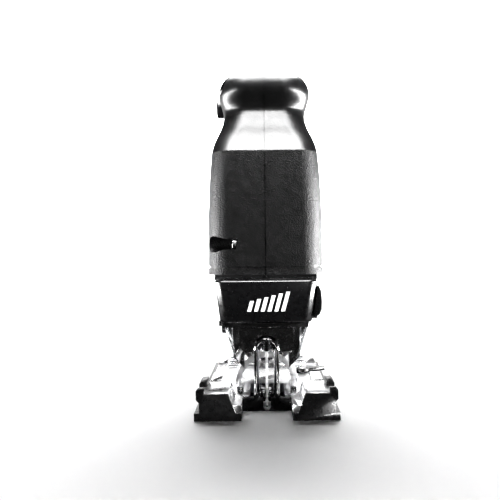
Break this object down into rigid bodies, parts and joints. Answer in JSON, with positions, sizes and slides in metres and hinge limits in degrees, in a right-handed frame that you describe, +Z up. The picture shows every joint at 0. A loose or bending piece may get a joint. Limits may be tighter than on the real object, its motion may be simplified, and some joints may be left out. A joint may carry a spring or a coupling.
{
  "type": "jigsaw power tool",
  "caption": "Bow-handled electric jigsaw with tilting base, orbital guide roller, tool-free blade clamp and wire guard.",
  "frame": {"origin": "on the sole plane, where the blade's axis meets the work", "axes": "+Z up along the blade's stroke, +Y towards the tool's rear, front faces -Y, +X is the tool's left side"},
  "size_m": [0.0806, 0.228, 0.2041],
  "materials": {
    "housing": "moulded, textured below the crease and glossy above it",
    "soft_grip": "ribbed",
    "cover_plastic": "satin",
    "gloss_black": "gloss",
    "nose_plastic": "matt",
    "lever_plastic": "satin",
    "trigger_plastic": "satin",
    "inner_plastic": "moulded",
    "port_plastic": "moulded",
    "shoe_plastic": "moulded",
    "clear_window": "clear plastic",
    "cast_alloy": "die cast",
    "base_alloy": "die cast, machined top",
    "blade_steel": "ground",
    "clamp_steel": "turned",
    "ground_steel": "ground",
    "gear_steel": "hobbed",
    "bearing_steel": "ground",
    "screw_steel": "plated",
    "wire_steel": "bright wire",
    "bronze": "sintered",
    "copper": "copper",
    "lamination": "stacked sheet steel",
    "carbon": "carbon",
    "inlet_rubber": "moulded"
  },
  "bodies": {
    "body": {"housing_left": "housing", "housing_right": "housing", "housing_screws": "screw_steel", "handle_grip": "soft_grip", "gear_housing": "cast_alloy", "front_cover": "cover_plastic", "cover_lip": "gloss_black", "nose_guard": "nose_plastic", "lever_pin": "screw_steel", "shield_left": "clear_window", "shield_right": "clear_window", "lower_bush": "bronze", "upper_bush": "bronze", "gear_shaft": "ground_steel", "fork_pin": "ground_steel", "field_core": "lamination", "field_coils": "copper", "front_bearing": "bearing_steel", "rear_bearing": "bearing_steel", "bearing_carrier": "inner_plastic", "brush_holders": "copper", "carbon_brushes": "carbon", "switch_body": "inner_plastic", "dial_pin": "screw_steel", "electronics_module": "inner_plastic", "cord_inlet": "inlet_rubber", "bevel_shoe": "clamp_steel", "bevel_bolt": "screw_steel", "dust_port": "port_plastic"},
    "base": {"base_plate": "base_alloy", "slide_shoe": "shoe_plastic", "splinter_bar": "shoe_plastic", "wire_guard": "wire_steel", "tilt_segment": "base_alloy", "bevel_lever_pin": "screw_steel"},
    "bevel_lever": {"bevel_lever": "lever_plastic"},
    "saw": {"plunger": "ground_steel", "scotch_yoke": "ground_steel", "blade_clamp": "clamp_steel", "blade": "blade_steel"},
    "clamp_sleeve": {"clamp_sleeve": "clamp_steel"},
    "crank": {"crank_gear": "gear_steel", "crank_pin": "ground_steel"},
    "armature": {"armature_shaft": "ground_steel", "armature_core": "lamination", "commutator": "copper", "fan": "inner_plastic"},
    "orbit_fork": {"orbit_fork": "clamp_steel", "roller_pin": "ground_steel"},
    "guide_roller": {"guide_roller": "ground_steel"},
    "orbit_selector": {"orbit_selector": "lever_plastic"},
    "release_lever": {"release_lever": "lever_plastic"},
    "trigger": {"trigger": "trigger_plastic"},
    "lock_button": {"lock_button": "trigger_plastic"},
    "speed_dial": {"speed_dial": "trigger_plastic"}
  },
  "joints": [
    {"name": "base_tilt", "type": "hinge", "parent": "body", "child": "base", "pos_m": [0, 0, 0.008], "axis": [0, 1, 0], "range_deg": [-45, 45]},
    {"name": "bevel_lever_swing", "type": "hinge", "parent": "base", "child": "bevel_lever", "pos_m": [0.025, 0.064, 0.008], "axis": [0, 0, 1], "range_deg": [0, 60]},
    {"name": "stroke", "type": "slide", "parent": "body", "child": "saw", "axis": [0, 0, -1], "range_m": [0, 0.02]},
    {"name": "sleeve_turn", "type": "hinge", "parent": "saw", "child": "clamp_sleeve", "pos_m": [0, 0, 0.038], "axis": [0, 0, 1], "range_deg": [0, 45], "stiffness_Nm_per_rad": 0.02, "springref_deg": -11.46},
    {"name": "armature_spin", "type": "hinge", "parent": "body", "child": "armature", "pos_m": [0, 0.016, 0.112], "axis": [0, 1, 0], "continuous": true},
    {"name": "crank_spin", "type": "hinge", "parent": "body", "child": "crank", "pos_m": [0, 0.016, 0.086], "axis": [0, 1, 0], "continuous": true},
    {"name": "orbit_rock", "type": "hinge", "parent": "body", "child": "orbit_fork", "pos_m": [0, 0.017, 0.046], "axis": [1, 0, 0], "range_deg": [0, 4]},
    {"name": "roller_spin", "type": "hinge", "parent": "orbit_fork", "child": "guide_roller", "pos_m": [0, 0.00895, 0.007], "axis": [1, 0, 0], "continuous": true},
    {"name": "orbit_select", "type": "hinge", "parent": "body", "child": "orbit_selector", "pos_m": [-0.025, 0.045, 0.045], "axis": [-1, 0, 0], "range_deg": [0, 90]},
    {"name": "release_lever_swing", "type": "hinge", "parent": "body", "child": "release_lever", "pos_m": [0.0293, 0.011, 0.064], "axis": [0, 0, 1], "range_deg": [0, 60], "stiffness_Nm_per_rad": 0.05, "springref_deg": -17.19},
    {"name": "trigger_press", "type": "slide", "parent": "body", "child": "trigger", "axis": [0, 0, 1], "range_m": [0, 0.005], "stiffness_N_per_m": 400, "springref_m": -0.003},
    {"name": "lock_press", "type": "slide", "parent": "body", "child": "lock_button", "axis": [1, 0, 0], "range_m": [0, 0.003], "stiffness_N_per_m": 300, "springref_m": -0.002},
    {"name": "dial_turn", "type": "hinge", "parent": "body", "child": "speed_dial", "pos_m": [0, 0.094, 0.1925], "axis": [1, 0, 0], "range_deg": [-140, 140]}
  ],
  "couplings": [
    {"joint": "crank_spin", "follows": "armature_spin", "ratio": -0.14286}
  ]
}
